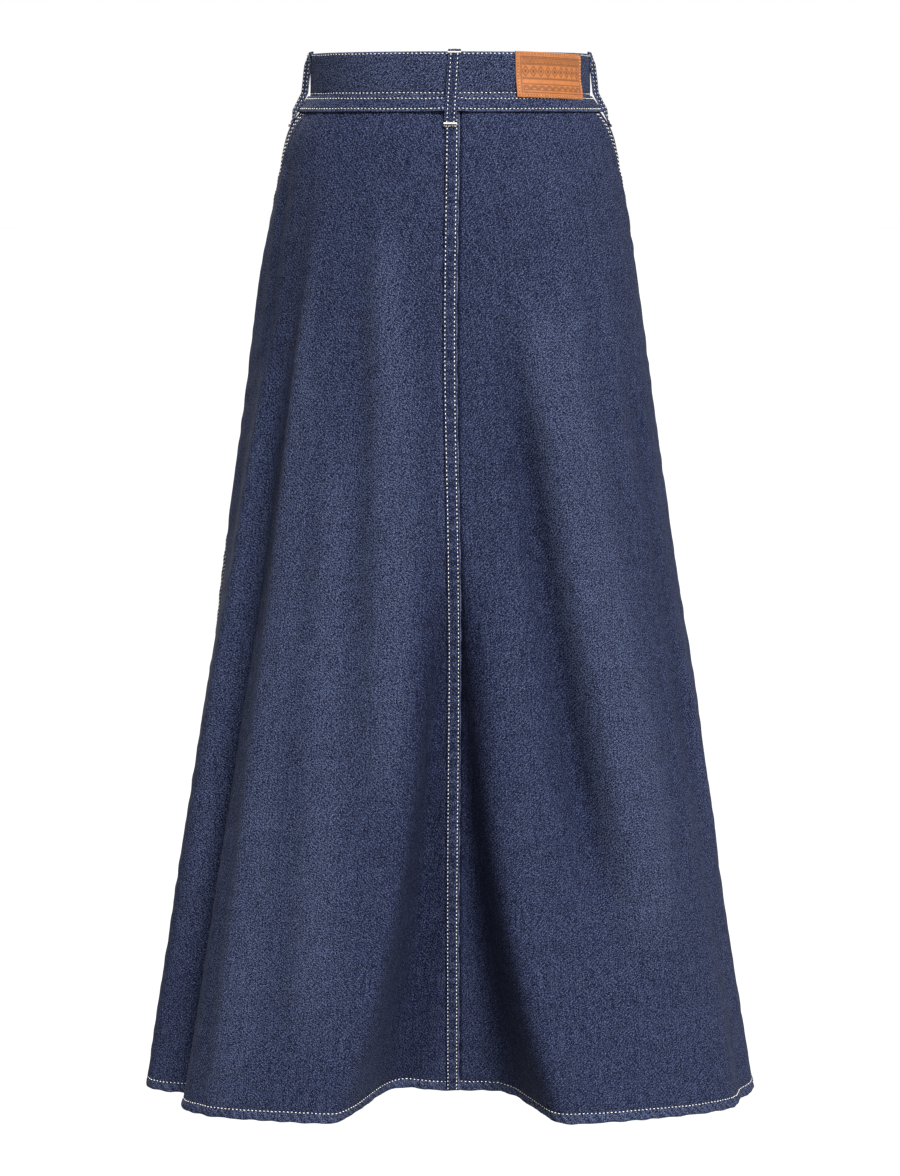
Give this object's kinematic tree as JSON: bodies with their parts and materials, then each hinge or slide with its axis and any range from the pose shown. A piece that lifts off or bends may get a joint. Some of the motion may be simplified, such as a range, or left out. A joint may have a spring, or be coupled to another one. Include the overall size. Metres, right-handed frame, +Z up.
{
  "type": "denim skirt",
  "caption": "Long flared denim skirt with a waistband, narrow belt in loops, felled centre seams, leather patch and folds that open towards the hem.",
  "frame": {"origin": "centre of the waist opening, at the waistband's mid height", "axes": "+Z up through the waist opening, -Y out of the skirt's front, +X to its wearer's left"},
  "size_m": [0.6028, 0.3294, 1.0054],
  "materials": {
    "denim": "indigo twill with a pale weft",
    "patch_leather": "matt vegetable tanned leather",
    "metal": "antique brass"
  },
  "bodies": {
    "root": {"back_left": "denim", "back_right": "denim", "front_left": "denim", "front_right": "denim", "back_seam": "denim", "front_seam": "denim", "waistband": "denim", "fly": "denim", "belt": "denim", "loop_back": "denim", "loop_left": "denim", "loop_right": "denim", "loop_front_left": "denim", "loop_front_right": "denim", "patch": "patch_leather", "button": "metal", "buckle": "metal"}
  },
  "joints": []
}
